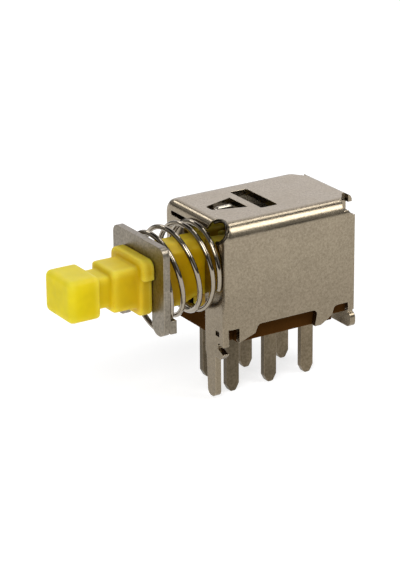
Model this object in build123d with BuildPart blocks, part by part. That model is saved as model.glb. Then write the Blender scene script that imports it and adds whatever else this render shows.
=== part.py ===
from build123d import *
import os
from math import cos, pi, sin

# Right-angle push switch with a folded steel case, in millimetres.
# +X runs from the plunger side to the rear, the side wall with the ground leg is at -Y, +Z is up.
# The origin lies on the seating plane, in the middle of the terminal grid.

# Terminal grid
pitch = 2.5
row_spacing = 2.5
columns = ("front", "middle", "rear")
terminal_width = 0.8
terminal_thickness = 0.35
terminal_reach = 2.65
terminal_tip_width = 0.34
terminal_tip_length = 0.42
terminal_tip_round = 0.16
terminal_shoulder_width = 1.15
terminal_shoulder_height = 0.25
contact_blade_height = 1.0
contact_blade_round = 0.2

# Folded case
sheet = 0.35
case_width = 6.5
case_height = 7.85
front_overhang = 1.55
rear_overhang = 2.45
side_bend = 0.85
corner_bend = 0.45
rear_bend = 0.4
rear_gap = 0.18
rear_wall_inset = 0.85
rear_foot_inset = 0.58
rear_foot_height = 0.86
rear_foot_round = 0.33
lip_height = 0.62
lip_slit = 0.28
lip_slit_half = 2.45
lip_slit_round = 0.1
mouth_half = 1.06
cutout_height = 1.87
lobe_height = 0.9

# Corner relief at the near end of the lip
relief_radius = 0.7
relief_in = 0.89
relief_down = 0.46
relief_rise = 0.6

# Rear corners of the top, with the small ears that stay on the rear bend
corner_cut_length = 0.7
corner_cut_shoulder = 0.2
corner_cut_half = 2.65
ear_root_half = 1.87
ear_half = 2.19
ear_root_gap = 0.1
ear_neck_half = 1.6
ear_depth = 0.47
ear_undercut = 0.76
side_step_length = 0.62

# Windows in the top
window_offset = 0.0
triangle_tip_x = -3.1
triangle_length = 1.95
triangle_tip = 0.66
triangle_base = 1.86
triangle_round = 0.2
slot_offset = 0.1
slot_front_x = -0.64
slot_length = 1.1
slot_width = 3.2
slot_round = 0.12

# Ground leg on the near front flange
leg_width = 0.88
leg_inset = 0.16
leg_reach = 2.48
leg_round = 0.36
foot_chamfer = 0.2
clinch_length = 0.8
clinch_width = 0.4
clinch_tilt = 25

# Terminal board
standoff = 0.9
board_thickness = 1.15
board_gap = 0.04
board_front_notch_length = 0.55
board_front_notch_depth = 0.5
board_rear_notch_length = 1.4
board_rear_notch_depth = 0.65

# Plunger
plunger_depth = 3.2
plunger_travel = 1.5
tip_face_x = -12.7
tip_length = 1.88
tip_width = 2.9
tip_height = 2.4
tip_round = 0.36
tip_heel_round = 0.16
groove_length = 0.9
groove_depth = 0.3
block_length = 1.55
block_width = 2.42
block_height = 2.36
block_round = 0.2
block_end_round = 0.16
collar_length = 0.72
collar_width = 3.6
collar_rise = 1.62
collar_round = 0.5
collar_edge_round = 0.14
collar_shoulder_rise = 0.5
collar_foot_width = 3.0
collar_foot_round = 0.45
neck_width = 1.98
neck_rise = 1.85
neck_drop = 1.65
neck_chamfer = 0.45
neck_heel_rise = 0.35
neck_heel_length = 0.9
fork_groove_rise = 1.42
slider_width = 4.6
slider_head_length = 3.3
slider_length = 5.55
slider_top_gap = 1.0
carrier_height = 2.7
slider_edge_round = 0.2
running_gap = 0.05

# Heart-shaped latch track in the top of the slider
track_width = 0.45
track_depth = 0.55

# Latch pin
pin_wire = 0.3
pin_pivot_setback = 0.45
pin_length = 1.0
pin_bend = 0.17
pin_swing = 0.3
pin_pivot_reach = 0.5
pin_track_gap = 0.12

# Contact clips
clip_metal = 0.15
clip_width = 1.4
clip_length = 4.2
clip_front_lap = 0.4
clip_grip_gap = 0.03
clip_grip_height = 0.85
clip_foot_flare = 0.22
clip_side_gap = 0.05
clip_drop = 0.35
clip_shoulder_drop = 0.55
clip_bend = 0.1

# Spring retainer
retainer_metal = 0.4
retainer_width = 5.35
retainer_rise = 2.48
retainer_drop = 2.64
retainer_round = 0.5
retainer_leg_round = 0.6
fork_gap = 0.4
fork_top_gap = 0.05
retainer_ear_height = 0.75
retainer_ear_length = 0.38
retainer_ear_rise = 0.2

# Return spring
spring_wire = 0.3
spring_diameter = 5.2
spring_turns = 4.15
spring_start_turn = -0.1
closed_pitch = 0.32
active_start_turn = 0.13
active_end_turn = 3.16
closing_share = 0.07
coil_lean = 0.32
coil_lean_start = 0.4
coil_lift = 0.24
coil_drift = 0.11

# Places worked out from the sizes above
case_front = -pitch - front_overhang
case_rear = pitch + rear_overhang
inner_front = case_front + sheet
inner_rear = case_rear - sheet
side_rear = inner_rear - rear_gap
outer_half = case_width / 2
inner_half = outer_half - sheet
inner_top = case_height - sheet
rear_wall_half = outer_half - rear_wall_inset
rear_foot_half = outer_half - rear_foot_inset
bend_start = case_height - side_bend
row_half = row_spacing / 2
board_top = standoff + board_thickness
lip_bottom = case_height - lip_height
through = 3 * sheet
collar_rear_x = tip_face_x + tip_length + groove_length + block_length + collar_length
slider_front_x = inner_front + running_gap
slider_bottom = board_top + running_gap
slider_top = inner_top - slider_top_gap
plunger_axis = case_height - plunger_depth


# Inner space of the folded case, used as a cutter
with BuildPart() as case_space:
    with BuildSketch(Plane.YZ.offset(inner_front)):
        with Locations((0, -1)):
            Rectangle(2 * inner_half, inner_top + 1, align=(Align.CENTER, Align.MIN))
        fillet(vertices().group_by(Axis.Y)[-1], side_bend - sheet)
    extrude(amount=inner_rear - inner_front)
    fillet(faces().sort_by(Axis.X)[0].edges().sort_by(Axis.Z)[1:], corner_bend - sheet)
    fillet(faces().sort_by(Axis.X)[-1].edges().sort_by(Axis.Z)[1:], rear_bend - sheet)

# Side outlines: everything below the line is cut from a side wall.
# Both sides have two board lobes, a long cut-out between them and an arch behind them.
lobe_front_x = -3.2
cutout_front_x = -2.02
cutout_rear_x = 1.95
arch_front_x = 3.0
arch_rear_x = 4.05
strip_bottom = 1.38
rear_lobe_slant = 0.32
side_outline = [
    (lobe_front_x, lobe_height + 0.12),
    (cutout_front_x - 0.45, lobe_height + 0.38),
    (cutout_front_x - 0.16, lobe_height + 0.48),
    (cutout_front_x + 0.05, cutout_height),
    (cutout_rear_x + 0.04, cutout_height),
    (cutout_rear_x - 0.16, lobe_height),
    (cutout_rear_x + 0.25, lobe_height),
    (arch_front_x - rear_lobe_slant, lobe_height + 0.28),
    (arch_front_x - 0.05, strip_bottom),
    (arch_front_x + 0.1, cutout_height),
    (arch_rear_x - 0.03, cutout_height),
    (arch_rear_x, strip_bottom),
    (case_rear + 1, strip_bottom),
    (case_rear + 1, -1),
]
side_outline += [(case_front - 1, -1), (case_front - 1, cutout_height), (lobe_front_x, cutout_height)]

# The case is one folded sheet. Its cut-outs and bends are the most demanding feature of the part.
with BuildPart() as case:
    with BuildSketch(Plane.YZ.offset(case_front)):
        Rectangle(case_width, case_height, align=(Align.CENTER, Align.MIN))
        fillet(vertices().group_by(Axis.Y)[-1], side_bend)
    extrude(amount=case_rear - case_front)
    fillet(faces().sort_by(Axis.X)[0].edges().sort_by(Axis.Z)[1:], corner_bend)
    fillet(faces().sort_by(Axis.X)[-1].edges().sort_by(Axis.Z)[1:], rear_bend)
    add(case_space.part, mode=Mode.SUBTRACT)

    # Mouth between the front flanges, and the slit that frees the lip
    with BuildSketch(Plane.YZ.offset(case_front - sheet)):
        with Locations((0, -1)):
            Rectangle(2 * mouth_half, lip_bottom + 1, align=(Align.CENTER, Align.MIN))
        with Locations((lip_slit_half, lip_bottom)):
            Rectangle(lip_slit_half + outer_half - relief_in, lip_slit, align=(Align.MAX, Align.MAX))
        fillet(vertices().group_by(Axis.X)[-1], lip_slit_round)
    extrude(amount=through, mode=Mode.SUBTRACT)

    # Round relief where the lip, the near side and the near flange would meet
    relief_at = (case_front, relief_in - outer_half, case_height - relief_down)
    with BuildSketch(Plane(origin=relief_at, x_dir=(1, -1, 0), z_dir=(-1, -1, relief_rise))):
        Circle(relief_radius)
    extrude(amount=2 * sheet + side_bend, both=True, mode=Mode.SUBTRACT)

    # Free the rear wall from the side walls, and round the feet that it stands on
    for side in (-1, 1):
        with BuildSketch(Plane.XY.offset(-1)):
            with Locations((side_rear, side * rear_wall_half)):
                Rectangle(1, 1, align=(Align.MIN, Align.MIN if side > 0 else Align.MAX))
        extrude(amount=case_height + 2, mode=Mode.SUBTRACT)

    with BuildSketch(Plane.YZ.offset(inner_rear)):
        with Locations((0, rear_foot_height / 2)):
            RectangleRounded(2 * rear_foot_half, rear_foot_height, rear_foot_round)
    extrude(amount=sheet)

    # Corner cuts of the top at the rear, with the small ears that stay on the rear bend
    for side in (-1, 1):
        with BuildSketch(Plane.XY.offset(inner_top - corner_cut_shoulder)):
            with BuildLine():
                Polyline(
                    (side_rear - corner_cut_length, side * (outer_half + 1)),
                    (side_rear - corner_cut_length, side * (outer_half - corner_cut_shoulder)),
                    (side_rear - corner_cut_length + corner_cut_shoulder, side * corner_cut_half),
                    (inner_rear - ear_root_gap, side * ear_root_half),
                    (inner_rear + ear_root_gap / 2, side * ear_root_half),
                    (inner_rear + ear_root_gap, side * ear_half),
                    (case_rear + 1, side * ear_half),
                    (case_rear + 1, side * (outer_half + 1)),
                    close=True,
                )
            make_face()
        extrude(amount=side_bend + 1, mode=Mode.SUBTRACT)
        with BuildSketch(Plane.YZ.offset(side_rear + rear_gap / 2)):
            with Locations((side * ear_neck_half, case_height - ear_depth)):
                Rectangle(outer_half, ear_undercut, align=(Align.MIN if side > 0 else Align.MAX, Align.MAX))
        extrude(amount=through, mode=Mode.SUBTRACT)
        with BuildSketch(Plane.XZ.offset(-side * corner_cut_half)):
            with BuildLine():
                Polyline(
                    (side_rear - side_step_length, case_height + 1),
                    (side_rear - side_step_length, inner_top + sheet / 4),
                    (side_rear - side_step_length / 2, bend_start + sheet / 2),
                    (side_rear - side_step_length / 4, bend_start),
                    (case_rear + 1, bend_start),
                    (case_rear + 1, case_height + 1),
                    close=True,
                )
            make_face()
        extrude(amount=-side * outer_half, mode=Mode.SUBTRACT)

    # Lower outlines of the two side walls
    for side in (-1, 1):
        with BuildSketch(Plane.XZ.offset(-side * (inner_half - 0.02))):
            with BuildLine():
                Polyline(*side_outline, close=True)
            make_face()
            fillet(vertices().filter_by(lambda v: abs(v.Y - cutout_height) < 0.01
                                        and cutout_front_x < v.X < arch_front_x + 0.5), 0.28)
        extrude(amount=-side * 1.0, mode=Mode.SUBTRACT)

    # The far flange ends at the cut-out height, the near one stands on the board
    with BuildSketch(Plane.YZ.offset(case_front - sheet)):
        with Locations((mouth_half - 0.1, -1)):
            Rectangle(outer_half, cutout_height + 1, align=(Align.MIN, Align.MIN))
    extrude(amount=through, mode=Mode.SUBTRACT)

    # Ground leg
    leg_edge = -mouth_half - leg_inset
    with BuildSketch(Plane.YZ.offset(case_front)):
        with BuildLine():
            Polyline(
                (-mouth_half, 0.4),
                (-mouth_half, 0.2),
                (leg_edge + 0.04, -0.25),
                (leg_edge - 0.06, -leg_reach),
                (leg_edge - leg_width, -leg_reach),
                (leg_edge - leg_width, 0.4),
                close=True,
            )
        make_face()
        fillet(vertices().group_by(Axis.Y)[0], leg_round)
    extrude(amount=sheet)

    # Corner cut of the foot beside the leg, and its two clinch holes
    with BuildSketch(Plane.YZ.offset(case_front - sheet)):
        with Locations((-inner_half, 0)):
            Rectangle(2 * foot_chamfer, 2 * foot_chamfer, rotation=45)
        with Locations((leg_edge - leg_width - 0.18, lobe_height + 0.53)):
            Rectangle(clinch_width, 0.75 * clinch_width)
        with Locations(Location((leg_edge - leg_width - 0.58, lobe_height - 0.28, 0), clinch_tilt)):
            SlotOverall(clinch_length, clinch_width)
    extrude(amount=through, mode=Mode.SUBTRACT)

    # Triangular latch window and the cross slot behind it
    with BuildSketch(Plane.XY.offset(inner_top - sheet)):
        with BuildLine():
            Polyline(
                (triangle_tip_x, window_offset - triangle_tip / 2),
                (triangle_tip_x + triangle_length, window_offset - triangle_base / 2),
                (triangle_tip_x + triangle_length, window_offset + triangle_base / 2),
                (triangle_tip_x, window_offset + triangle_tip / 2),
                close=True,
            )
        make_face()
        fillet(vertices().group_by(Axis.X)[0], triangle_round)
        with Locations((slot_front_x, slot_offset)):
            Rectangle(slot_length, slot_width, align=(Align.MIN, Align.CENTER))
        fillet(vertices().filter_by(lambda v: v.X > slot_front_x - 0.01), slot_round)
    extrude(amount=through, mode=Mode.SUBTRACT)
case.part.label = "case"

# Board that carries the terminals, notched at its corners for the folds of the case
board_half = inner_half - board_gap
board_front = inner_front + board_gap
board_rear = inner_rear - board_gap
with BuildPart() as terminal_board:
    with BuildSketch(Plane.XY.offset(standoff)):
        with BuildLine():
            Polyline(
                (board_front, 0),
                (board_front, board_half - board_front_notch_depth),
                (board_front + board_front_notch_length, board_half - board_front_notch_depth),
                (board_front + board_front_notch_length, board_half),
                (board_rear - board_rear_notch_length, board_half),
                (board_rear - board_rear_notch_length, board_half - board_rear_notch_depth),
                (board_rear, board_half - board_rear_notch_depth),
                (board_rear, 0),
            )
            mirror(about=Plane.XZ)
        make_face()
        with GridLocations(pitch, row_spacing, len(columns), 2):
            Rectangle(terminal_width, terminal_thickness, mode=Mode.SUBTRACT)
    extrude(amount=board_thickness)
terminal_board.part.label = "terminal_board"

# Six flat terminals, each with a shoulder on the board and a contact blade above it
terminals = []
for row_name, row_y in (("near", -row_half), ("far", row_half)):
    for index, column in enumerate(columns):
        column_x = (index - 1) * pitch
        with BuildPart() as terminal:
            with BuildSketch(Plane.XZ.offset(-row_y)):
                with BuildLine():
                    Polyline(
                        (0, -terminal_reach),
                        (terminal_tip_width / 2, -terminal_reach),
                        (terminal_width / 2, terminal_tip_length - terminal_reach),
                        (terminal_width / 2, board_top),
                        (terminal_shoulder_width / 2, board_top),
                        (terminal_shoulder_width / 2, board_top + terminal_shoulder_height),
                        (terminal_width / 2, board_top + terminal_shoulder_height),
                        (terminal_width / 2, board_top + contact_blade_height),
                        (0, board_top + contact_blade_height),
                    )
                    mirror(about=Plane.YZ)
                make_face()
                fillet(vertices().group_by(Axis.Y)[0], terminal_tip_round)
                fillet(vertices().group_by(Axis.Y)[-1], contact_blade_round)
            extrude(amount=terminal_thickness / 2, both=True)
        terminal.part.label = f"terminal_{column}_{row_name}"
        terminal.part.locate(Location((column_x, 0, 0)))
        terminals.append(terminal.part)

# Plunger: key tip, groove, second block and collar in front, neck and slider behind
block_front_x = tip_face_x + tip_length + groove_length
collar_front_x = block_front_x + block_length
neck_bottom = plunger_axis - neck_drop
neck_top = plunger_axis + neck_rise
neck_front_x = collar_rear_x + retainer_metal + running_gap
fork_groove_top = plunger_axis + fork_groove_rise
carrier_top = slider_bottom + carrier_height
clip_front_x = -pitch - clip_front_lap
clip_top = board_top + contact_blade_height + clip_drop + clip_metal * 2
pivot_x = triangle_tip_x + pin_pivot_setback
follower_x = pivot_x + pin_length
full_x = pivot_x + pin_length * cos(pin_swing) - plunger_travel
full_y = window_offset + pin_length * sin(pin_swing)
with BuildPart() as plunger:
    with BuildSketch(Plane.YZ.offset(tip_face_x)):
        with Locations((0, plunger_axis)):
            RectangleRounded(tip_width, tip_height, tip_round)
    extrude(amount=tip_length)
    fillet(faces().sort_by(Axis.X)[0].edges(), tip_round * 0.9)
    fillet(faces().sort_by(Axis.X)[-1].edges(), tip_heel_round)
    with BuildSketch(Plane.YZ.offset(collar_front_x)):
        with Locations((0, plunger_axis + collar_shoulder_rise)):
            Rectangle(collar_width, collar_rise - collar_shoulder_rise, align=(Align.CENTER, Align.MIN))
        with Locations((0, neck_bottom)):
            Rectangle(collar_foot_width, collar_rise + neck_drop, align=(Align.CENTER, Align.MIN))
        fillet(vertices().group_by(Axis.Y)[-1], collar_round)
        fillet(vertices().group_by(Axis.Y)[0], collar_foot_round)
    extrude(amount=collar_length)
    fillet(faces().filter_by(Axis.X).sort_by(Axis.X)[2].edges(), collar_edge_round)
    with BuildSketch(Plane.YZ.offset(block_front_x)):
        with Locations((0, plunger_axis)):
            RectangleRounded(block_width, block_height, block_round)
    extrude(amount=block_length + collar_length / 2)
    fillet(faces().filter_by(Axis.X).sort_by(Axis.X)[2].edges(), block_end_round)
    with BuildSketch(Plane.YZ.offset(tip_face_x + tip_length / 2)):
        with Locations((0, plunger_axis)):
            RectangleRounded(block_width - 2 * groove_depth, block_height - 2 * groove_depth, block_round)
    extrude(amount=tip_length / 2 + groove_length + block_length / 2)
    # Low neck under the fork plate, then the full neck with its cut-back heel
    with BuildSketch(Plane.YZ.offset(collar_front_x + collar_length / 2)):
        with Locations((0, neck_bottom)):
            Rectangle(neck_width, fork_groove_top - neck_bottom, align=(Align.CENTER, Align.MIN))
    extrude(amount=neck_front_x - collar_front_x)
    with BuildSketch(Plane.YZ.offset(neck_front_x)):
        with Locations((0, neck_bottom)):
            Rectangle(neck_width, neck_top - neck_bottom, align=(Align.CENTER, Align.MIN))
        chamfer(vertices().group_by(Axis.Y)[-1], neck_chamfer)
    extrude(amount=slider_front_x - neck_front_x)
    with BuildSketch(Plane.XZ):
        with BuildLine():
            Polyline(
                (slider_front_x - 2 * neck_heel_length, neck_bottom),
                (slider_front_x - neck_heel_length, neck_bottom + neck_heel_rise),
                (slider_front_x, neck_bottom + neck_heel_rise),
                (slider_front_x, neck_bottom),
                close=True,
            )
        make_face()
    extrude(amount=neck_width, both=True, mode=Mode.SUBTRACT)
    # Slider head with the latch track, and the lower carrier of the contact clips
    with BuildSketch(Plane.XZ):
        with BuildLine():
            Polyline(
                (slider_front_x, slider_bottom),
                (slider_front_x, slider_top),
                (slider_front_x + slider_head_length, slider_top),
                (slider_front_x + slider_head_length, carrier_top),
                (slider_front_x + slider_length, carrier_top),
                (slider_front_x + slider_length, slider_bottom),
                close=True,
            )
        make_face()
    extrude(amount=slider_width / 2, both=True)
    slider_round = min(slider_edge_round, 0.45 * (slider_top - carrier_top))
    fillet(edges().filter_by(Axis.X).filter_by(lambda e: e.center().Z > slider_top - 0.01), slider_round)
    # Heart-shaped track: out along one leg, back along the other
    with BuildSketch(Plane.XY.offset(slider_top)):
        with BuildLine() as track:
            Polyline(
                (follower_x, window_offset),
                (full_x, full_y),
                (full_x + 0.35, window_offset - 0.08),
                (full_x + 0.05, window_offset - 0.42),
                (full_x + 0.9, window_offset - 0.58),
                close=True,
            )
        trace(track.line, line_width=track_width)
    extrude(amount=-track_depth, mode=Mode.SUBTRACT)
    # Channels over the contact blades, and the pockets of the clips
    for side in (-1, 1):
        with BuildSketch(Plane.XY.offset(slider_bottom)):
            with Locations((slider_front_x - 1, side * row_half)):
                Rectangle(slider_length + 2, terminal_thickness + 0.4, align=(Align.MIN, Align.CENTER))
        extrude(amount=contact_blade_height + 0.1, mode=Mode.SUBTRACT)
        with BuildSketch(Plane.XY.offset(slider_bottom)):
            with Locations((clip_front_x - clip_side_gap, side * row_half)):
                Rectangle(clip_length + 2 * clip_side_gap, clip_width + 2 * clip_side_gap,
                          align=(Align.MIN, Align.CENTER))
        extrude(amount=clip_top - slider_bottom, mode=Mode.SUBTRACT)
plunger.part.label = "plunger"

# Fork plate that holds the spring against the collar
fork_half = neck_width / 2 + fork_gap
fork_top = fork_groove_top + fork_top_gap
retainer_bottom = plunger_axis - retainer_drop
retainer_height = retainer_rise + retainer_drop
leg_end_round = min(retainer_leg_round, 0.45 * (retainer_width / 2 - fork_half))
with BuildPart() as spring_retainer:
    with BuildSketch(Plane.YZ.offset(collar_rear_x)):
        with Locations((0, retainer_bottom)):
            Rectangle(retainer_width, retainer_height, align=(Align.CENTER, Align.MIN))
        fillet(vertices().group_by(Axis.Y)[-1], retainer_round)
        with Locations((0, retainer_bottom)):
            Rectangle(2 * fork_half, fork_top - retainer_bottom, align=(Align.CENTER, Align.MIN),
                      mode=Mode.SUBTRACT)
        fillet(vertices().group_by(Axis.Y)[0], leg_end_round)
    extrude(amount=retainer_metal)
    # Ears that keep the first coil centred
    for side in (-1, 1):
        with BuildSketch(Plane.YZ.offset(collar_rear_x + retainer_metal)):
            with Locations((side * retainer_width / 2, retainer_bottom + retainer_ear_rise)):
                Rectangle(retainer_metal, retainer_ear_height,
                          align=(Align.MAX if side > 0 else Align.MIN, Align.MIN))
        extrude(amount=retainer_ear_length)
spring_retainer.part.label = "spring_retainer"

# Return spring with closed end turns, between the retainer and the front flanges
spring_front_x = collar_rear_x + retainer_metal + spring_wire / 2
spring_rear_x = case_front - spring_wire / 2
coil_radius = (spring_diameter - spring_wire) / 2
active_length = spring_rear_x - spring_front_x - spring_turns * closed_pitch


def coil_point(turn):
    """Point of the spring's centre line after this many turns; its turns lean, rise and drift a little."""
    share = min(max((turn - active_start_turn) / (active_end_turn - active_start_turn), 0), 1)
    active = active_length * (share - closing_share * sin(2 * pi * share))
    angle = 2 * pi * turn
    lean = coil_lean * min(1, (turn - spring_start_turn) / coil_lean_start) * (1 - share ** 6) * sin(angle)
    x = spring_front_x + closed_pitch * (turn - spring_start_turn) + active + lean
    y = -coil_radius * cos(angle) - coil_drift * turn * share
    z = plunger_axis + coil_lift * sin(pi / 2 * share) - coil_radius * sin(angle)
    return (x, y, z)


point_count = int(spring_turns * 16)
coil_points = [coil_point(spring_start_turn + spring_turns * i / point_count) for i in range(point_count + 1)]
with BuildPart() as return_spring:
    with BuildLine() as coil_path:
        Spline(*coil_points)
    with BuildSketch(Plane(origin=coil_path.line @ 0, z_dir=coil_path.line % 0)):
        Circle(spring_wire / 2)
    sweep(path=coil_path.line, is_frenet=True)
return_spring.part.label = "return_spring"

# Latch pin: a staple whose bridge lies in the triangular window, flush with the top.
# Its short front leg pivots at the narrow end, its long rear leg follows the track.
pin_bridge_z = case_height - pin_wire / 2
with BuildPart() as latch_pin:
    with BuildLine() as pin_path:
        FilletPolyline(
            (pivot_x, window_offset, case_height - pin_pivot_reach),
            (pivot_x, window_offset, pin_bridge_z),
            (follower_x, window_offset, pin_bridge_z),
            (follower_x, window_offset, slider_top - track_depth + pin_track_gap),
            radius=pin_bend,
        )
    with BuildSketch(Plane(origin=pin_path.line @ 0, z_dir=pin_path.line % 0)):
        Circle(pin_wire / 2)
    sweep(path=pin_path.line)
latch_pin.part.label = "latch_pin"

# Spring clips that grip two neighbouring contact blades from both sides
grip_half = terminal_thickness / 2 + clip_grip_gap + clip_metal / 2
clip_half = clip_width / 2 - clip_metal / 2
contact_clips = []
for row_name, row_y in (("near", -row_half), ("far", row_half)):
    with BuildPart() as contact_clip:
        with BuildSketch(Plane.YZ.offset(clip_front_x)):
            with BuildLine() as clip_line:
                FilletPolyline(
                    (row_y + grip_half + clip_foot_flare, board_top + clip_drop),
                    (row_y + grip_half, board_top + clip_grip_height * 0.75),
                    (row_y + clip_half, clip_top - clip_shoulder_drop),
                    (row_y + clip_half, clip_top - clip_metal / 2),
                    (row_y - clip_half, clip_top - clip_metal / 2),
                    (row_y - clip_half, clip_top - clip_shoulder_drop),
                    (row_y - grip_half, board_top + clip_grip_height * 0.75),
                    (row_y - grip_half - clip_foot_flare, board_top + clip_drop),
                    radius=clip_bend,
                )
            trace(clip_line.line, line_width=clip_metal)
        extrude(amount=clip_length)
    contact_clip.part.label = f"contact_clip_{row_name}"
    contact_clips.append(contact_clip.part)

os.makedirs("parts", exist_ok=True)
for piece in [case.part, terminal_board.part, plunger.part, spring_retainer.part, return_spring.part,
              latch_pin.part] + terminals + contact_clips:
    export_step(piece, f"parts/{piece.label}.step")
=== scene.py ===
"""Looks of a right-angle push switch: a folded steel case, a yellow plunger, an outside return
spring behind a fork plate, and two rows of flat terminals.

Sizes in the classes are in millimetres, in the frame of the solid model: +X runs from the
plunger's tip to the rear, -Y is the side with the ground leg, +Z is up. The studio alone is
in metres.
"""

from __future__ import annotations

import logging
import math
from dataclasses import dataclass
from enum import Enum
from typing import Sequence

import bmesh
import bpy
import numpy as np
from mathutils import Matrix, Vector


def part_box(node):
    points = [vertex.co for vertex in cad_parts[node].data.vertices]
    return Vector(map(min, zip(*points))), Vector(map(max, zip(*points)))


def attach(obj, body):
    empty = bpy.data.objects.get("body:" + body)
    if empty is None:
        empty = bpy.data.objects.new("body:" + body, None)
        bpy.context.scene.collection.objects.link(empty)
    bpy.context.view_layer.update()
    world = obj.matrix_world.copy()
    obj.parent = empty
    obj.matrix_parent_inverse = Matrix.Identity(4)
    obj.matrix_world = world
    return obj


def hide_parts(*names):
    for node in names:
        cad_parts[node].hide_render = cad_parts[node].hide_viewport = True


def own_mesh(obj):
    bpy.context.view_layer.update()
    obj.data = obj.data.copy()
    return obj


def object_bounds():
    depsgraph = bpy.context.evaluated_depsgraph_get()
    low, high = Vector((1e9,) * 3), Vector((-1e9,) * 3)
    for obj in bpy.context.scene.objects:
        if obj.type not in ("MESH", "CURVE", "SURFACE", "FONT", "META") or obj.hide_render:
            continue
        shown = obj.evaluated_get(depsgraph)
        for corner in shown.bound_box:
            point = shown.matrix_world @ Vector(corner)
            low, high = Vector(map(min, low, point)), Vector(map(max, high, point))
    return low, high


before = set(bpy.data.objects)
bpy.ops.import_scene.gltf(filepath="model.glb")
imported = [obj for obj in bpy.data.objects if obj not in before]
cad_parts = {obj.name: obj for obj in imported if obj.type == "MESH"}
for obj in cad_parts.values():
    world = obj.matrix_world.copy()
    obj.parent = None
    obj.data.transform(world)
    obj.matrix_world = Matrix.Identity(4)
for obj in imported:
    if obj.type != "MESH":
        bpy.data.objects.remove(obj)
CAD_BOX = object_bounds()

LOG = logging.getLogger("push_switch")

Colour = tuple[float, float, float]
Place = tuple[float, float, float]
Stops = tuple[tuple[float, Colour], ...]
Faces = list[list[int]]
Socket = bpy.types.NodeSocket

MM = 0.001
WHITE: Colour = (1.0, 1.0, 1.0)
NOISE_LOW = 0.3
NOISE_HIGH = 0.7
NOISE_ROUGHNESS = 0.6
BEVEL_RAYS = 6
DEPTH_RAYS = 8
NEW_STOP = 0.5


class Body(Enum):
    """Moving bodies of the switch."""

    CASE = "switch_case"
    SLIDE = "plunger_slide"
    PIN = "latch_pin"


class Axis(Enum):
    """Axes of a piece's own place, by their number."""

    X = 0
    Y = 1
    Z = 2


class Lay(Enum):
    """Ways to lay one colour on another."""

    OVER = "MIX"
    TIMES = "MULTIPLY"


def srgb(red: int, green: int, blue: int) -> Colour:
    """Linear colour of an 8-bit screen colour.

    Args:
        red: Red part, 0 to 255.
        green: Green part, 0 to 255.
        blue: Blue part, 0 to 255.

    Returns:
        The three linear parts, each (part / 255) raised by the screen curve.
    """
    knee, slope, offset, power = 0.04045, 12.92, 0.055, 2.4
    parts = np.array([red, green, blue], float) / 255.0
    linear = np.where(parts <= knee, parts / slope, ((parts + offset) / (1 + offset)) ** power)
    return tuple(float(p) for p in linear)


def grey(value: float) -> Colour:
    """Linear grey of one value."""
    return (value, value, value)


def fill_ramp(ramp: bpy.types.Node, stops: Sequence[tuple[float, Colour]]) -> None:
    """Write the stops of a colour ramp.

    Args:
        ramp: The ramp's node.
        stops: Pairs of place on the ramp, 0 to 1, and colour, in order.
    """
    elements = ramp.color_ramp.elements
    while len(elements) < len(stops):
        elements.new(NEW_STOP)
    for element, (place, colour) in zip(elements, stops):
        element.position = place
        element.color = (*colour, 1)


def piece_from_arrays(name: str, points: np.ndarray, faces: Faces) -> bpy.types.Object:
    """Put whole arrays of points and faces into a new smooth mesh piece.

    Args:
        name: Name of the piece.
        points: Array of points in millimetres, one row each.
        faces: Corner numbers of each face.

    Returns:
        The linked object, at the origin, with its place in its mesh.
    """
    mesh = bpy.data.meshes.new(name)
    mesh.from_pydata((points * MM).tolist(), [], faces)
    mesh.update()
    mesh.polygons.foreach_set("use_smooth", np.ones(len(mesh.polygons), bool))
    piece = bpy.data.objects.new(name, mesh)
    bpy.context.scene.collection.objects.link(piece)
    return piece


def dress(piece: bpy.types.Object, material: bpy.types.Material) -> None:
    """Put a material into every slot of a piece.

    Args:
        piece: A new piece, or a node of the solid model.
        material: The material to wear.
    """
    if not piece.material_slots:
        piece.data.materials.append(material)
    for slot in piece.material_slots:
        slot.material = material


def rounded_route(corners: np.ndarray, radius: float, steps: int) -> np.ndarray:
    """Route of straight runs with its corners rounded.

    At each corner the route leaves a run at distance r tan(t / 2) before the corner and follows
    the curve (1 - s)^2 a + 2 s (1 - s) c + s^2 b, which touches both runs.

    Args:
        corners: Corner points in millimetres, one row each.
        radius: Radius of the bends in millimetres.
        steps: Number of steps in each bend.

    Returns:
        Points of the route, one row each.
    """
    parts = [corners[:1]]
    share = np.linspace(0, 1, steps + 1)[:, None]
    for before, corner, after in zip(corners[:-2], corners[1:-1], corners[2:]):
        back = (before - corner) / np.linalg.norm(before - corner)
        ahead = (after - corner) / np.linalg.norm(after - corner)
        between = math.acos(float(np.clip(back @ ahead, -1, 1)))
        reach = radius * math.tan((math.pi - between) / 2)
        start, end = corner + back * reach, corner + ahead * reach
        parts.append((1 - share) ** 2 * start + 2 * share * (1 - share) * corner + share ** 2 * end)
    return np.vstack(parts + [corners[-1:]])


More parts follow.
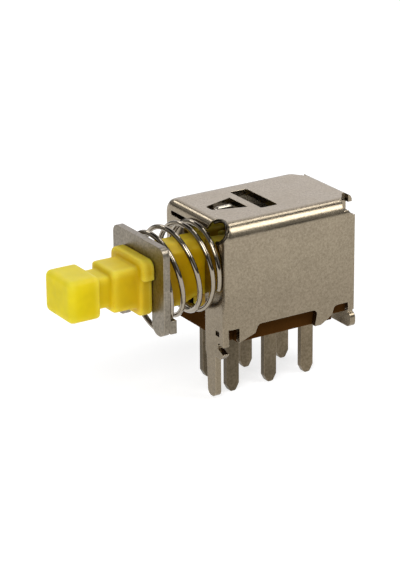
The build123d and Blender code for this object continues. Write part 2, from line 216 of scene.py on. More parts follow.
@dataclass(frozen=True)
class RoundWire:
    """Round wire of one thickness with softly broken ends.

    The end rings have the shares end_reach of the radius, at the shares end_inset from the end,
    and the first whole ring stands at the share shoulder.
    """

    radius: float
    sides: int
    end_reach: tuple[float, float] = (0.72, 0.94)
    end_inset: tuple[float, float] = (0.0, 0.1)
    shoulder: float = 0.3

    def surface(self, path: np.ndarray, across: np.ndarray) -> tuple[np.ndarray, Faces]:
        """Closed surface of the wire along a path.

        A ring is centre + r (cos a * n + sin a * b), with n the given direction less its part
        along the path, and b square to both. Two smaller rings close each end in front of one
        middle point.

        Args:
            path: Centre-line points in millimetres, one row each.
            across: A direction that never runs along the path, for each point or for all.

        Returns:
            The points in millimetres, and the corner numbers of each face.
        """
        steps = np.diff(path, axis=0)
        tangents = np.vstack([steps[:1], steps[:-1] + steps[1:], steps[-1:]])
        tangents /= np.linalg.norm(tangents, axis=1, keepdims=True)
        first = across - np.sum(across * tangents, axis=1, keepdims=True) * tangents
        first /= np.linalg.norm(first, axis=1, keepdims=True)
        reach = np.array(self.end_reach)
        inset = np.array(self.end_inset) * self.radius
        shoulder = self.shoulder * self.radius
        centres = np.vstack([
            path[0] + np.outer(inset, tangents[0]),
            path[0] + shoulder * tangents[0],
            path[1:-1],
            path[-1] - shoulder * tangents[-1],
            path[-1] - np.outer(inset[::-1], tangents[-1]),
        ])
        scale = np.concatenate([reach, np.ones(len(path)), reach[::-1]]) * self.radius
        first = np.vstack([first[:1], first[:1], first, first[-1:], first[-1:]])
        along = np.vstack([tangents[:1], tangents[:1], tangents, tangents[-1:], tangents[-1:]])
        second = np.cross(along, first)
        angle = np.linspace(0, 2 * math.pi, self.sides, endpoint=False)[None, :, None]
        rings = centres[:, None] + scale[:, None, None] * (
            np.cos(angle) * first[:, None] + np.sin(angle) * second[:, None])
        points = np.vstack([rings.reshape(-1, 3), centres[:1], centres[-1:]])
        return points, self.faces(len(centres))

    def faces(self, count: int) -> Faces:
        """Faces between the rings, and round the two middle points that follow them.

        Args:
            count: Number of rings.

        Returns:
            The corner numbers of each face, pointing outwards.
        """
        sides = self.sides
        ring, step = np.meshgrid(np.arange(count - 1), np.arange(sides), indexing="ij")
        ahead = (step + 1) % sides
        quads = np.stack([ring * sides + step, ring * sides + ahead,
                          (ring + 1) * sides + ahead, (ring + 1) * sides + step], -1)
        spin = np.arange(sides)
        turn = (spin + 1) % sides
        middle = count * sides
        start = np.stack([np.full(sides, middle), turn, spin], -1)
        base = (count - 1) * sides
        end = np.stack([np.full(sides, middle + 1), base + spin, base + turn], -1)
        return quads.reshape(-1, 4).tolist() + start.tolist() + end.tolist()


@dataclass(frozen=True)
class MouldedSkin:
    """Even skin over a solid, with the soft edges of a moulding.

    The solid is drawn in by a five-thousandth first, so that the skin stays inside it.
    """

    cell: float
    passes: int
    weld: float = 0.0005
    draw_in: float = 0.9998
    half_way: float = 0.5
    quick_factor: int = 2

    def copy(self, node: bpy.types.Object, name: str) -> bpy.types.Object:
        """Copy a solid's mesh as one even skin whose edges are softly rounded.

        The skin is an even grid of small cells over the solid; each pass then moves every point
        half way to the middle of its neighbours, which rounds an edge by about two cells.

        Args:
            node: Node of the solid model.
            name: Name of the new piece.

        Returns:
            The new linked piece, at the node's own place.
        """
        mesh = node.data.copy()
        mesh.name = name
        welded = bmesh.new()
        welded.from_mesh(mesh)
        bmesh.ops.remove_doubles(welded, verts=welded.verts, dist=self.weld * MM)
        bmesh.ops.scale(welded, verts=welded.verts, vec=(self.draw_in,) * 3)
        welded.to_mesh(mesh)
        welded.free()
        piece = bpy.data.objects.new(name, mesh)
        piece.matrix_world = node.matrix_world
        bpy.context.scene.collection.objects.link(piece)
        skin = piece.modifiers.new("skin", "REMESH")
        skin.mode = "VOXEL"
        cell = self.cell * 1
        skin.voxel_size = cell * MM
        skin.use_smooth_shade = True
        rounding = piece.modifiers.new("rounding", "SMOOTH")
        rounding.factor = self.half_way
        rounding.iterations = self.passes
        return piece


class Painter:
    """Writes the nodes of one procedural material."""

    def __init__(self, name: str) -> None:
        """Start an empty material with its output and its surface shader.

        Args:
            name: Name of the material.
        """
        self.material = bpy.data.materials.new(name)
        self.material.use_nodes = True
        self.tree = self.material.node_tree
        self.tree.nodes.clear()
        self.output = self.tree.nodes.new("ShaderNodeOutputMaterial")
        self.surface = self.tree.nodes.new("ShaderNodeBsdfPrincipled")
        self.link(self.surface.outputs[0], self.output.inputs[0])
        self.place = self.tree.nodes.new("ShaderNodeTexCoord").outputs["Object"]

    def link(self, source: Socket, target: Socket) -> None:
        """Join two sockets."""
        self.tree.links.new(source, target)

    def fix(self, socket: str, value: float | Sequence[float]) -> None:
        """Set a number or colour on the surface shader's own socket."""
        self.surface.inputs[socket].default_value = value

    def feed(self, socket: str, source: Socket) -> None:
        """Lead a value or colour that varies into the surface shader."""
        self.link(source, self.surface.inputs[socket])

    def noise(self, grain_mm: float, stretch: Sequence[float] = (1, 1, 1),
              detail: float = 3.0) -> Socket:
        """Noise over the piece's own place.

        Args:
            grain_mm: Size of the grain in millimetres.
            stretch: How much finer the grain is along each axis.
            detail: Number of finer layers.

        Returns:
            The noise value, mostly from NOISE_LOW to NOISE_HIGH.
        """
        mapping = self.tree.nodes.new("ShaderNodeMapping")
        mapping.inputs["Scale"].default_value = tuple(s / (grain_mm * MM) for s in stretch)
        node = self.tree.nodes.new("ShaderNodeTexNoise")
        node.inputs["Scale"].default_value = 1.0
        node.inputs["Detail"].default_value = detail
        node.inputs["Roughness"].default_value = NOISE_ROUGHNESS
        self.link(self.place, mapping.inputs["Vector"])
        self.link(mapping.outputs[0], node.inputs["Vector"])
        return node.outputs[0]

    def remap(self, value: Socket, source: tuple[float, float],
              target: tuple[float, float] = (0.0, 1.0)) -> Socket:
        """Carry a value evenly from one span to another, held at the ends.

        Args:
            value: The value.
            source: Values that become the two ends of the target.
            target: The two ends of the result.

        Returns:
            The carried value.
        """
        node = self.tree.nodes.new("ShaderNodeMapRange")
        names = ("From Min", "From Max", "To Min", "To Max")
        for name, number in zip(names, (*source, *target)):
            node.inputs[name].default_value = number
        self.link(value, node.inputs["Value"])
        return node.outputs[0]

    def spread(self, value: Socket, low: float, high: float) -> Socket:
        """Stretch a noise value from its usual span over low to high."""
        return self.remap(value, (NOISE_LOW, NOISE_HIGH), (low, high))

    def ramp(self, value: Socket, stops: Sequence[tuple[float, Colour]]) -> Socket:
        """Colour that follows a value.

        Args:
            value: The value, 0 to 1.
            stops: Pairs of value and colour, in order.

        Returns:
            The colour.
        """
        node = self.tree.nodes.new("ShaderNodeValToRGB")
        fill_ramp(node, stops)
        self.link(value, node.inputs[0])
        return node.outputs[0]

    def blend(self, value: Socket, dark: Colour, light: Colour) -> Socket:
        """Colour from dark to light over the usual span of a noise value."""
        return self.ramp(value, ((NOISE_LOW, dark), (NOISE_HIGH, light)))

    def along(self, stops: Stops, axis: Axis = Axis.X) -> Socket:
        """Colour that changes along one axis of the piece's own place.

        Args:
            stops: Two or more pairs of place in millimetres and colour, in order.
            axis: The axis that the colour changes along.

        Returns:
            The colour.
        """
        split = self.tree.nodes.new("ShaderNodeSeparateXYZ")
        self.link(self.place, split.inputs[0])
        start, end = stops[0][0], stops[-1][0]
        share = self.remap(split.outputs[axis.value], (start * MM, end * MM))
        return self.ramp(share, [((place - start) / (end - start), colour)
                                 for place, colour in stops])

    def soft_normal(self, radius_mm: float) -> Socket:
        """Normal of the surface as if its edges were broken with a small radius.

        Args:
            radius_mm: Radius of the broken edges in millimetres.

        Returns:
            The softened normal.
        """
        node = self.tree.nodes.new("ShaderNodeBevel")
        node.samples = BEVEL_RAYS
        node.inputs["Radius"].default_value = radius_mm * MM
        return node.outputs[0]

    def edges(self, width_mm: float, reach: float,
              turned: tuple[float, float] = (0.998, 0.84)) -> Socket:
        """Share of wear, which grows where a softened normal leaves the flat one near an edge.

        Args:
            width_mm: Width of the worn band in millimetres.
            reach: Greatest share, on the edge itself.
            turned: Products of the two normals where the wear begins and where it is greatest.

        Returns:
            The share, 0 on open faces.
        """
        flat = self.tree.nodes.new("ShaderNodeNewGeometry")
        compare = self.tree.nodes.new("ShaderNodeVectorMath")
        compare.operation = "DOT_PRODUCT"
        self.link(self.soft_normal(width_mm), compare.inputs[0])
        self.link(flat.outputs["Normal"], compare.inputs[1])
        return self.remap(compare.outputs["Value"], turned, (0.0, reach))

    def thin(self, width_mm: float, reach: float,
             open_share: tuple[float, float] = (0.97, 0.5)) -> Socket:
        """Share that grows where the piece is thin below its skin, as along a rounded edge.

        Args:
            width_mm: Depth in millimetres that is felt for another face.
            reach: Greatest share, on the edge itself.
            open_share: Shares of free depth where the effect begins and where it is greatest.

        Returns:
            The share, 0 where the piece is thick.
        """
        depth = self.tree.nodes.new("ShaderNodeAmbientOcclusion")
        depth.samples = DEPTH_RAYS
        depth.inside = True
        depth.only_local = True
        depth.inputs["Distance"].default_value = width_mm * MM
        return self.remap(depth.outputs["AO"], open_share, (0.0, reach))

    def upward(self, reach: float, slope: tuple[float, float] = (0.3, 1.0)) -> Socket:
        """Share that grows as a face turns upwards, for painted light on the top faces.

        Args:
            reach: Share on a level top face.
            slope: Upward part of the normal where the share begins and where it is greatest.

        Returns:
            The share, 0 on upright and lower faces.
        """
        flat = self.tree.nodes.new("ShaderNodeNewGeometry")
        split = self.tree.nodes.new("ShaderNodeSeparateXYZ")
        self.link(flat.outputs["Normal"], split.inputs[0])
        return self.remap(split.outputs[Axis.Z.value], slope, (0.0, reach))

    def grazing(self, reach: float, weight: float = 0.35) -> Socket:
        """Share that grows as a face turns edge on, for a painted sheen on the rim of a moulding.

        Args:
            reach: Share on a face that is edge on.
            weight: How soon the share grows.

        Returns:
            The share, near 0 on a face that is seen squarely.
        """
        facing = self.tree.nodes.new("ShaderNodeLayerWeight")
        facing.inputs["Blend"].default_value = weight
        share = self.tree.nodes.new("ShaderNodeMath")
        share.operation = "MULTIPLY"
        self.link(facing.outputs["Facing"], share.inputs[0])
        share.inputs[1].default_value = reach
        return share.outputs[0]

    def mix(self, share: Socket | float, first: Socket, second: Socket | Colour,
            way: Lay = Lay.OVER) -> Socket:
        """Lay one colour on another.

        Args:
            share: How much of the second colour shows.
            first: The colour below.
            second: The colour above.
            way: How the second colour is laid.

        Returns:
            The mixed colour.
        """
        node = self.tree.nodes.new("ShaderNodeMixRGB")
        node.blend_type = way.value
        if isinstance(share, float):
            node.inputs[0].default_value = share
        else:
            self.link(share, node.inputs[0])
        self.link(first, node.inputs[1])
        if isinstance(second, tuple):
            node.inputs[2].default_value = (*second, 1)
        else:
            self.link(second, node.inputs[2])
        return node.outputs[0]

    def relief(self, height: Socket, depth_mm: float, edge_mm: float) -> None:
        """Give the surface a fine relief and softly broken edges.

        Args:
            height: Height of the relief as a noise value.
            depth_mm: Depth of the relief in millimetres.
            edge_mm: Radius of the broken edges in millimetres.
        """
        bump = self.tree.nodes.new("ShaderNodeBump")
        bump.inputs["Strength"].default_value = 1.0
        bump.inputs["Distance"].default_value = depth_mm * MM
        self.link(height, bump.inputs["Height"])
        self.link(self.soft_normal(edge_mm), bump.inputs["Normal"])
        self.feed("Normal", bump.outputs[0])


@dataclass(frozen=True)
class SheetFinish:
    """Satin plated metal sheet with a fine grain, a broad stain and bright worn edges.

    The colour goes from dark to light with the grain, times the stain in its clouds, which are
    cloud_grains grains across, times a painted shade along one axis.
    """

    name: str
    dark: Colour
    light: Colour
    roughness: float
    grain_mm: float
    depth_mm: float
    edge_mm: float
    stain: float = 0.8
    edge_wear_and_light: float = 0.5
    painted_shade: Stops = ()
    painted_shade_axis: Axis = Axis.Z
    cloud_grains: float = 14
    layers: float = 2.0
    worn_gain: float = 1.5
    gloss_spread: float = 0.05

    def material(self) -> bpy.types.Material:
        """Metal whose colour, gloss and relief follow the grain.

        Returns:
            The new material.
        """
        paint = Painter(self.name)
        grain = paint.noise(self.grain_mm, detail=self.layers)
        cloud = paint.noise(self.grain_mm * self.cloud_grains, detail=self.layers)
        colour = paint.blend(grain, self.dark, self.light)
        colour = paint.mix(1.0, colour, paint.blend(cloud, grey(self.stain), WHITE), Lay.TIMES)
        # Painted shade: the colour is darkened along one axis.
        if self.painted_shade:
            colour = paint.mix(1.0, colour, paint.along(self.painted_shade, self.painted_shade_axis), Lay.TIMES)
        worn = tuple(min(1.0, part * self.worn_gain) for part in self.light)
        colour = paint.mix(paint.edges(self.edge_mm, self.edge_wear_and_light), colour, worn)
        paint.feed("Base Color", colour)
        paint.feed("Roughness", paint.spread(cloud, self.roughness - self.gloss_spread,
                                             self.roughness + self.gloss_spread))
        paint.fix("Metallic", 1.0)
        paint.relief(grain, self.depth_mm, self.edge_mm)
        return paint.material


@dataclass(frozen=True)
class WireFinish:
    """Bright drawn steel wire with fine marks round it."""

    name: str
    colour: Colour
    roughness: float
    mark_mm: float = 0.05
    mark_stretch: tuple[float, float, float] = (1, 0.4, 0.4)
    mark_shade: float = 0.8
    depth_mm: float = 0.0005
    gloss_spread: float = 0.06

    def material(self) -> bpy.types.Material:
        """Polished metal whose gloss and relief follow the drawing marks.

        Returns:
            The new material.
        """
        paint = Painter(self.name)
        marks = paint.noise(self.mark_mm, stretch=self.mark_stretch)
        paint.feed("Roughness", paint.spread(marks, self.roughness,
                                             self.roughness + self.gloss_spread))
        dark = tuple(part * self.mark_shade for part in self.colour)
        paint.feed("Base Color", paint.blend(marks, dark, self.colour))
        paint.fix("Metallic", 1.0)
        paint.relief(marks, self.depth_mm, self.mark_mm)
        return paint.material


@dataclass(frozen=True)
class PlasticFinish:
    """Moulded plastic whose colour may change along it, with paler edges.

    The colour follows its stops along X, which may carry painted shade, times the clouds. A paler
    colour is laid over it as painted light where the piece is thin (a painted glow), where it looks
    upwards (painted top light) and where it is edge on (a painted sheen), and the stops of inside
    then paint shade on what lies within a housing.
    """

    name: str
    stops: Stops
    painted_edge_light: Colour
    edge_mm: float
    edge_wear_and_light: float
    roughness: float
    gloss: float
    depth_mm: float
    round_mm: float
    glow: float = 0.0
    glow_mm: float = 0.1
    glow_reach: Colour = (1.0, 0.75, 0.15)
    inside: Stops = ()
    painted_rim_sheen: float = 0.0
    painted_top_light: float = 0.0
    cloud_mm: float = 1.2
    cloud_shade: float = 0.86
    cloud_layers: float = 2.0
    fine_mm: float = 0.3
    gloss_spread: tuple[float, float] = (0.04, 0.06)
    refraction: float = 1.5

    def material(self) -> bpy.types.Material:
        """Plastic with light that spreads under its skin and a faint moulded unevenness.

        Returns:
            The new material.
        """
        paint = Painter(self.name)
        cloud = paint.noise(self.cloud_mm, detail=self.cloud_layers)
        fine = paint.noise(self.fine_mm)
        shade = paint.blend(cloud, grey(self.cloud_shade), WHITE)
        colour = paint.mix(1.0, paint.along(self.stops), shade, Lay.TIMES)
        # Painted light: a paler colour laid where the piece is thin (painted glow), on faces that
        # look upwards (painted top light) and on edge-on faces (painted sheen).
        for share in (paint.thin(self.edge_mm, self.edge_wear_and_light), paint.upward(self.painted_top_light),
                      paint.grazing(self.painted_rim_sheen)):
            colour = paint.mix(share, colour, self.painted_edge_light)
        # Painted shade: the stops of inside darken the part that lies within the housing.
        if self.inside:
            colour = paint.mix(1.0, colour, paint.along(self.inside), Lay.TIMES)
        paint.feed("Base Color", colour)
        paint.feed("Roughness", paint.spread(fine, self.roughness - self.gloss_spread[0],
                                             self.roughness + self.gloss_spread[1]))
        paint.fix("Specular IOR Level", self.gloss)
        paint.fix("Subsurface Weight", self.glow)
        paint.fix("Subsurface Radius", self.glow_reach)
        paint.fix("Subsurface Scale", self.glow_mm * MM)
        paint.fix("IOR", self.refraction)
        paint.relief(fine, self.depth_mm, self.round_mm)
        return paint.material


CASE_STEEL = SheetFinish(
    "case_steel",
    dark=srgb(137, 125, 106),
    light=srgb(161, 149, 129),
    roughness=0.26,
    grain_mm=0.1,
    depth_mm=0.0025,
    edge_mm=0.05,
    stain=0.9,
    # Painted shade: the case grows darker towards its bottom.
    painted_shade=((0.5, (0.8, 0.79, 0.77)), (3.0, (0.84, 0.83, 0.82)), (5.0, (0.93, 0.93, 0.92)),
          (7.0, WHITE)),
)
RETAINER_STEEL = SheetFinish(
    "retainer_steel",
    dark=srgb(122, 114, 100),
    light=srgb(156, 147, 132),
    roughness=0.36,
    grain_mm=0.14,
    depth_mm=0.003,
    edge_mm=0.06,
    stain=0.75,
)
TERMINAL_METAL = SheetFinish(
    "terminal_metal",
    dark=srgb(113, 101, 80),
    light=srgb(142, 128, 106),
    roughness=0.38,
    grain_mm=0.14,
    depth_mm=0.003,
    edge_mm=0.06,
    stain=0.6,
    # Painted shade: the terminals grow darker towards the front (-X).
    painted_shade=((-2.5, grey(0.6)), (0.0, grey(0.82)), (2.5, WHITE)),
    painted_shade_axis=Axis.X,
)
BURR_STEEL = SheetFinish(
    "burr_steel",
    dark=srgb(52, 46, 34),
    light=srgb(112, 102, 86),
    roughness=0.2,
    grain_mm=0.12,
    depth_mm=0.006,
    edge_mm=0.02,
    stain=0.6,
    edge_wear_and_light=0.0,
)
CONTACT_METAL = SheetFinish(
    "contact_metal",
    dark=srgb(160, 146, 112),
    light=srgb(180, 166, 132),
    roughness=0.3,
    grain_mm=0.14,
    depth_mm=0.003,
    edge_mm=0.03,
)
SPRING_WIRE = WireFinish("spring_wire", colour=srgb(160, 150, 134), roughness=0.05)
PIN_STEEL = WireFinish("pin_steel", colour=srgb(170, 162, 148), roughness=0.2)
PLUNGER_PLASTIC = PlasticFinish(
    "plunger_plastic",
    # Painted light and shade: the stops run from a paler tip to a darker body where the spring and
    # plate shade it.
    stops=((-12.7, srgb(228, 208, 6)), (-10.9, srgb(216, 188, 0)), (-8.2, srgb(204, 165, 0)),
           (-6.6, srgb(184, 142, 0)), (-4.6, srgb(218, 172, 0))),
    # Painted light: the pale edge colour is laid on thin edges, top faces and the rim.
    painted_edge_light=srgb(246, 234, 92),
    edge_mm=0.45,
    edge_wear_and_light=0.62,
    roughness=0.42,
    gloss=0.1,
    depth_mm=0.006,
    round_mm=0.12,
    glow=0.4,
    glow_mm=0.5,
    # Painted shade: darker where the plunger lies within the case.
    inside=((-4.4, WHITE), (-3.9, grey(0.75)), (-2.9, (0.38, 0.37, 0.4))),
    painted_rim_sheen=0.04,
    painted_top_light=0.3,
)
BOARD_PLASTIC = PlasticFinish(
    "board_plastic",
    stops=((0.0, srgb(66, 40, 14)), (1.0, srgb(66, 40, 14))),
    # Painted light: the paler edge colour is laid on the board's thin edges.
    painted_edge_light=srgb(92, 60, 26),
    edge_mm=0.1,
    edge_wear_and_light=0.5,
    roughness=0.55,
    gloss=0.0,
    depth_mm=0.01,
    round_mm=0.05,
)


@dataclass
class HousingSet:
    """The folded case with the burred lip of its corner relief, and the board that closes it."""

    case_node: str = "case"
    board_node: str = "terminal_board"
    corner: Place = (-4.05, -3.25, 7.85)
    corner_round: float = 0.6
    relief_middle: Place = (-4.05, -2.36, 7.39)
    relief_way: Place = (-1.0, -1.0, 0.6)
    relief_level: Place = (1.0, -1.0, 0.0)
    relief_radius: float = 0.7
    lip_radius: float = 0.1
    lip_sink: float = 1.05
    lip_arc: tuple[float, float] = (-100.0, 125.0)
    lip_steps: int = 72
    lip_sides: int = 16
    search_reach: float = 1.5
    search_steps: int = 1201

    def lip_line(self) -> np.ndarray:
        """Centre line of the burred lip, just below the outer skin of the case.

        With a the angle round the relief, u and v square to its way w, and r the relief's radius
        less the lip's: the line is c + r (cos a u + sin a v) + s w, with s the greatest value at
        which the point is still lip_sink radii of the lip inside the case's rounded corner.

        Returns:
            Points of the centre line in millimetres.
        """
        way = np.array(self.relief_way) / np.linalg.norm(self.relief_way)
        first = np.array(self.relief_level) / np.linalg.norm(self.relief_level)
        second = np.cross(way, first)
        angle = np.radians(np.linspace(*self.lip_arc, self.lip_steps))[:, None]
        radius = self.relief_radius - self.lip_radius
        ring = self.relief_middle + radius * (np.cos(angle) * first + np.sin(angle) * second)
        reach = np.linspace(-self.search_reach, self.search_reach, self.search_steps)
        tries = ring[:, None] + reach[None, :, None] * way
        depth = (np.array(self.corner) - tries) * [1.0, 1.0, -1.0] + self.corner_round
        outside = np.linalg.norm(np.maximum(depth, 0), axis=-1)
        gap = outside + np.minimum(depth.max(-1), 0) - self.corner_round
        skin = np.where(gap < -self.lip_sink * self.lip_radius, reach, reach[0]).max(1)
        return ring + skin[:, None] * way

    def build(self) -> list[bpy.types.Object]:
        """Dress the case and the board, and roll the lip of the relief.

        Returns:
            The three pieces.
        """
        case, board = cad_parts[self.case_node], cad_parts[self.board_node]
        dress(case, CASE_STEEL.material())
        dress(board, BOARD_PLASTIC.material())
        wire = RoundWire(self.lip_radius, self.lip_sides)
        surface = wire.surface(self.lip_line(), np.array(self.relief_way))
        lip = piece_from_arrays("relief_lip", *surface)
        dress(lip, BURR_STEEL.material())
        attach(lip, Body.CASE.value)
        return [case, board, lip]


@dataclass
class TerminalSet:
    """Six flat terminals in two rows."""

    columns: tuple[str, ...] = ("front", "middle", "rear")
    rows: tuple[str, ...] = ("near", "far")

    def build(self) -> list[bpy.types.Object]:
        """Dress every terminal.

        Returns:
            The six pieces.
        """
        metal = TERMINAL_METAL.material()
        pieces = [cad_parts[f"terminal_{c}_{r}"] for r in self.rows for c in self.columns]
        for piece in pieces:
            dress(piece, metal)
        return pieces


@dataclass
class PlungerSet:
    """The yellow plunger with its fork plate and its contact clips."""

    rows: tuple[str, ...] = ("near", "far")
    skin: MouldedSkin = MouldedSkin(cell=0.07, passes=5)

    def build(self) -> list[bpy.types.Object]:
        """Soften and dress the plunger, and dress the plate and the clips.

        Returns:
            The four pieces.
        """
        plunger = self.skin.copy(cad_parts["plunger"], "plunger_body")
        dress(plunger, PLUNGER_PLASTIC.material())
        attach(plunger, Body.SLIDE.value)
        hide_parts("plunger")
        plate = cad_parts["spring_retainer"]
        dress(plate, RETAINER_STEEL.material())
        silver = CONTACT_METAL.material()
        clips = [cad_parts[f"contact_clip_{r}"] for r in self.rows]
        for clip in clips:
            dress(clip, silver)
        return [plunger, plate, *clips]


@dataclass
class ReturnSpring:
    """Outside compression spring between the fork plate and the case."""

    wire: float = 0.3
    coil_radius: float = 2.45
    turns: float = 4.15
    start_turn: float = -0.1
    closed_pitch: float = 0.32
    active_start: float = 0.13
    active_end: float = 3.16
    closing_share: float = 0.07
    lean: float = 0.32
    lean_start: float = 0.4
    lift: float = 0.24
    drift: float = 0.09
    sag: float = 0.6
    sag_from: float = 0.3
    sag_to: float = 0.8
    axis_height: float = 4.65
    front_x: float = -7.1
    rear_x: float = -4.2
    steps_per_turn: int = 72
    sides: int = 20

    def centre_line(self) -> np.ndarray:
        """Helix whose pitch opens between two closed ends, and whose turns lean, rise and drift.

        With t the turns, s the share of the open turns and w = 2 pi t:
        x = front + p (t - t0) + L (s - c sin 2 pi s) + lean g (1 - s^6) sin w, with g growing
        from 0 to 1, y = -R cos w - drift t s, and
        z = axis + lift sin(pi s / 2) - R sin w - sag (1 - q). The first closed turn hangs, and
        q = a^2 (3 - 2 a) lifts it, with a growing from 0 to 1 over the turns of the sag.

        Returns:
            Points of the centre line in millimetres.
        """
        turn = self.start_turn + np.linspace(0, self.turns, int(self.turns * self.steps_per_turn))
        length = self.rear_x - self.front_x - self.turns * self.closed_pitch
        open_turns = self.active_end - self.active_start
        share = np.clip((turn - self.active_start) / open_turns, 0, 1)
        angle = 2 * np.pi * turn
        grow = np.clip((turn - self.start_turn) / self.lean_start, 0, 1)
        x = (self.front_x + self.closed_pitch * (turn - self.start_turn)
             + length * (share - self.closing_share * np.sin(2 * np.pi * share))
             + self.lean * grow * (1 - share ** 6) * np.sin(angle))
        y = -self.coil_radius * np.cos(angle) - self.drift * turn * share
        rise = np.clip((turn - self.sag_from) / (self.sag_to - self.sag_from), 0, 1)
        z = (self.axis_height + self.lift * np.sin(np.pi / 2 * share)
             - self.coil_radius * np.sin(angle)
             - self.sag * (1 - rise ** 2 * (3 - 2 * rise)))
        return np.stack([x, y, z], -1)

    def build(self) -> list[bpy.types.Object]:
        """Wind the wire.

        Returns:
            The one piece.
        """
        path = self.centre_line()
        radial = (path - [0.0, 0.0, self.axis_height]) * [0.0, 1.0, 1.0]
        surface = RoundWire(self.wire / 2, self.sides).surface(path, radial)
        spring = piece_from_arrays("spring_coil", *surface)
        dress(spring, SPRING_WIRE.material())
        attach(spring, Body.CASE.value)
        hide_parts("return_spring")
        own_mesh(spring)
        return [spring]


@dataclass
class LatchPin:
    """Wire staple in the triangular window of the case."""

    wire: float = 0.3
    bend: float = 0.17
    bend_steps: int = 10
    pivot_reach: float = 0.5
    sides: int = 20

    def route(self) -> np.ndarray:
        """Short leg, bridge and long leg, with rounded bends.

        Returns:
            Points of the centre line in millimetres.
        """
        low, high = (np.array(corner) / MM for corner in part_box("latch_pin"))
        half = self.wire / 2
        across = (low[1] + high[1]) / 2
        corners = np.array([
            [low[0] + half, across, high[2] - self.pivot_reach],
            [low[0] + half, across, high[2] - half],
            [high[0] - half, across, high[2] - half],
            [high[0] - half, across, low[2]],
        ])
        return rounded_route(corners, self.bend, self.bend_steps)

    def build(self) -> list[bpy.types.Object]:
        """Bend the wire.

        Returns:
            The one piece.
        """
        wire = RoundWire(self.wire / 2, self.sides)
        surface = wire.surface(self.route(), np.array([0.0, 1.0, 0.0]))
        pin = piece_from_arrays("latch_wire", *surface)
        dress(pin, PIN_STEEL.material())
        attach(pin, Body.PIN.value)
        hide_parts("latch_pin")
        return [pin]


@dataclass(frozen=True)
class SoftBox:
    """A square area light aimed at the middle of the switch, in metres."""

    name: str
    way: Place
    size: float
    brightness: float
    colour: Colour = WHITE
    distance: float = 0.45

    def build(self, target: Vector) -> None:
        """Hang the light.

        Args:
            target: Point that the light faces, in metres.
        """
        way = Vector(self.way).normalized()
        data = bpy.data.lights.new(self.name, "AREA")
        data.shape = "SQUARE"
        data.size = self.size
        data.energy = self.brightness * math.pi * self.size ** 2
        data.color = self.colour
        lamp = bpy.data.objects.new(self.name, data)
        lamp.location = target + way * self.distance
        lamp.rotation_euler = (-way).to_track_quat("-Z", "Y").to_euler()
        bpy.context.scene.collection.objects.link(lamp)


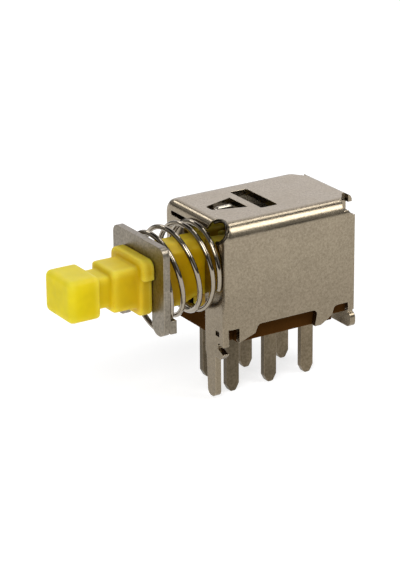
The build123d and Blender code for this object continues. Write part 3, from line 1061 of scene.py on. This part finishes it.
@dataclass
class Studio:
    """Pale floor, soft lights, surroundings and the camera of the photograph.

    The camera's place is in millimetres, and its three ways are its own axes in the frame.
    """

    floor_half: float = 3.0
    floor_cells: int = 8
    floor_colour: Colour = grey(0.45)
    floor_roughness: float = 0.9
    floor_glow: float = 0.74
    sky_stops: tuple[tuple[float, float], ...] = (
        (0.0, 0.08), (0.12, 0.1), (0.25, 0.42), (0.52, 0.42),
        (0.64, 0.02), (0.9, 0.012), (0.97, 0.45), (1.0, 0.5))
    room_way: Place = (-0.526, -0.85, 0.0)
    room_edge: tuple[float, float] = (0.62, 0.86)
    room_glow: float = 0.15
    camera_place: Place = (-69.5065, -106.3939, 51.186)
    camera_right: Place = (0.84856, -0.52901, -0.00962)
    camera_up: Place = (0.19614, 0.29761, 0.93432)
    camera_back: Place = (-0.49140, -0.79472, 0.35630)
    sensor_width: float = 36.0
    focal_pixels: float = 2418.6
    picture_width: int = 400
    clip_start: float = 0.005
    clip_end: float = 20.0
    light_target: Place = (-0.003, 0.0, 0.003)
    lights: tuple[SoftBox, ...] = (
        SoftBox("back_panel", (0.49, 0.8, 0.42), size=0.36, brightness=0.92,
                colour=(0.99, 0.98, 1.04)),
        SoftBox("top_strip", (0.49, 0.26, 0.83), size=0.1, brightness=6.0),
        SoftBox("right_panel", (0.49, -0.44, 0.75), size=0.2, brightness=6.5),
        SoftBox("left_strip", (-0.2, 0.8, 0.56), size=0.1, brightness=5.0),
        SoftBox("key_panel", (-0.6, -0.5, 0.65), size=0.2, brightness=8.0),
    )

    def floor(self) -> None:
        """Flat grid z = the lowest point of the switch, in x and y from -h to h."""
        cells, row = self.floor_cells, self.floor_cells + 1
        side = np.linspace(-self.floor_half, self.floor_half, row) / MM
        x, y = np.meshgrid(side, side, indexing="ij")
        low = CAD_BOX[0][2] / MM
        points = np.stack([x, y, np.full_like(x, low)], -1).reshape(-1, 3)
        i, j = np.meshgrid(np.arange(cells), np.arange(cells), indexing="ij")
        first = i * row + j
        faces = np.stack([first, first + row, first + row + 1, first + 1], -1).reshape(-1, 4)
        floor = piece_from_arrays("floor", points, faces)
        paint = Painter("floor_white")
        paint.fix("Base Color", (*self.floor_colour, 1))
        paint.fix("Roughness", self.floor_roughness)
        paint.fix("Specular IOR Level", 0.0)
        paint.fix("Emission Color", (*WHITE, 1))
        paint.fix("Emission Strength", self.floor_glow)
        dress(floor, paint.material)

    def sky(self) -> None:
        """Surroundings whose brightness follows the height above the horizon.

        The part towards room_way is darker, as the unlit room before the switch is.
        """
        world = bpy.data.worlds.new("surroundings")
        bpy.context.scene.world = world
        world.use_nodes = True
        tree = world.node_tree
        tree.nodes.clear()
        way = tree.nodes.new("ShaderNodeTexCoord").outputs["Generated"]
        split = tree.nodes.new("ShaderNodeSeparateXYZ")
        ramp = tree.nodes.new("ShaderNodeValToRGB")
        shade = tree.nodes.new("ShaderNodeBackground")
        output = tree.nodes.new("ShaderNodeOutputWorld")
        ramp.color_ramp.interpolation = "EASE"
        fill_ramp(ramp, [(height, grey(value)) for height, value in self.sky_stops])
        tree.links.new(way, split.inputs[0])
        tree.links.new(split.outputs[Axis.Z.value], ramp.inputs[0])
        tree.links.new(ramp.outputs[0], shade.inputs[0])
        towards = tree.nodes.new("ShaderNodeVectorMath")
        towards.operation = "DOT_PRODUCT"
        towards.inputs[1].default_value = self.room_way
        tree.links.new(way, towards.inputs[0])
        room = tree.nodes.new("ShaderNodeMapRange")
        room.inputs["From Min"].default_value = self.room_edge[0]
        room.inputs["From Max"].default_value = self.room_edge[1]
        room.inputs["To Min"].default_value = 1.0
        room.inputs["To Max"].default_value = self.room_glow
        tree.links.new(towards.outputs["Value"], room.inputs["Value"])
        tree.links.new(room.outputs[0], shade.inputs["Strength"])
        tree.links.new(shade.outputs[0], output.inputs[0])

    def camera(self) -> None:
        """Camera solved from the photograph's outlines."""
        data = bpy.data.cameras.new("photo_camera")
        data.sensor_fit = "HORIZONTAL"
        data.sensor_width = self.sensor_width
        data.lens = self.sensor_width * self.focal_pixels / self.picture_width
        data.clip_start = self.clip_start
        data.clip_end = self.clip_end
        camera = bpy.data.objects.new("photo_camera", data)
        turn = Matrix((self.camera_right, self.camera_up, self.camera_back)).transposed()
        place = Matrix.Translation(Vector(self.camera_place) * MM)
        camera.matrix_world = place @ turn.to_4x4()
        bpy.context.scene.collection.objects.link(camera)
        bpy.context.scene.camera = camera

    def build(self) -> None:
        """Lay the floor, set the surroundings and the camera, and hang the lights."""
        self.floor()
        self.sky()
        self.camera()
        for light in self.lights:
            light.build(Vector(self.light_target))
        bpy.context.scene.view_settings.view_transform = "Standard"
        bpy.context.scene.view_settings.look = "None"


def main() -> None:
    """Build the switch's sets in order, then the studio."""
    logging.basicConfig(level=logging.INFO, format="%(name)s: %(message)s")
    for part in (HousingSet(), TerminalSet(), PlungerSet(), ReturnSpring(), LatchPin()):
        for piece in part.build():
            LOG.info("%s: %s with %d faces", type(part).__name__, piece.name,
                     len(piece.data.polygons))
    Studio().build()


if __name__ == "__main__":
    main()
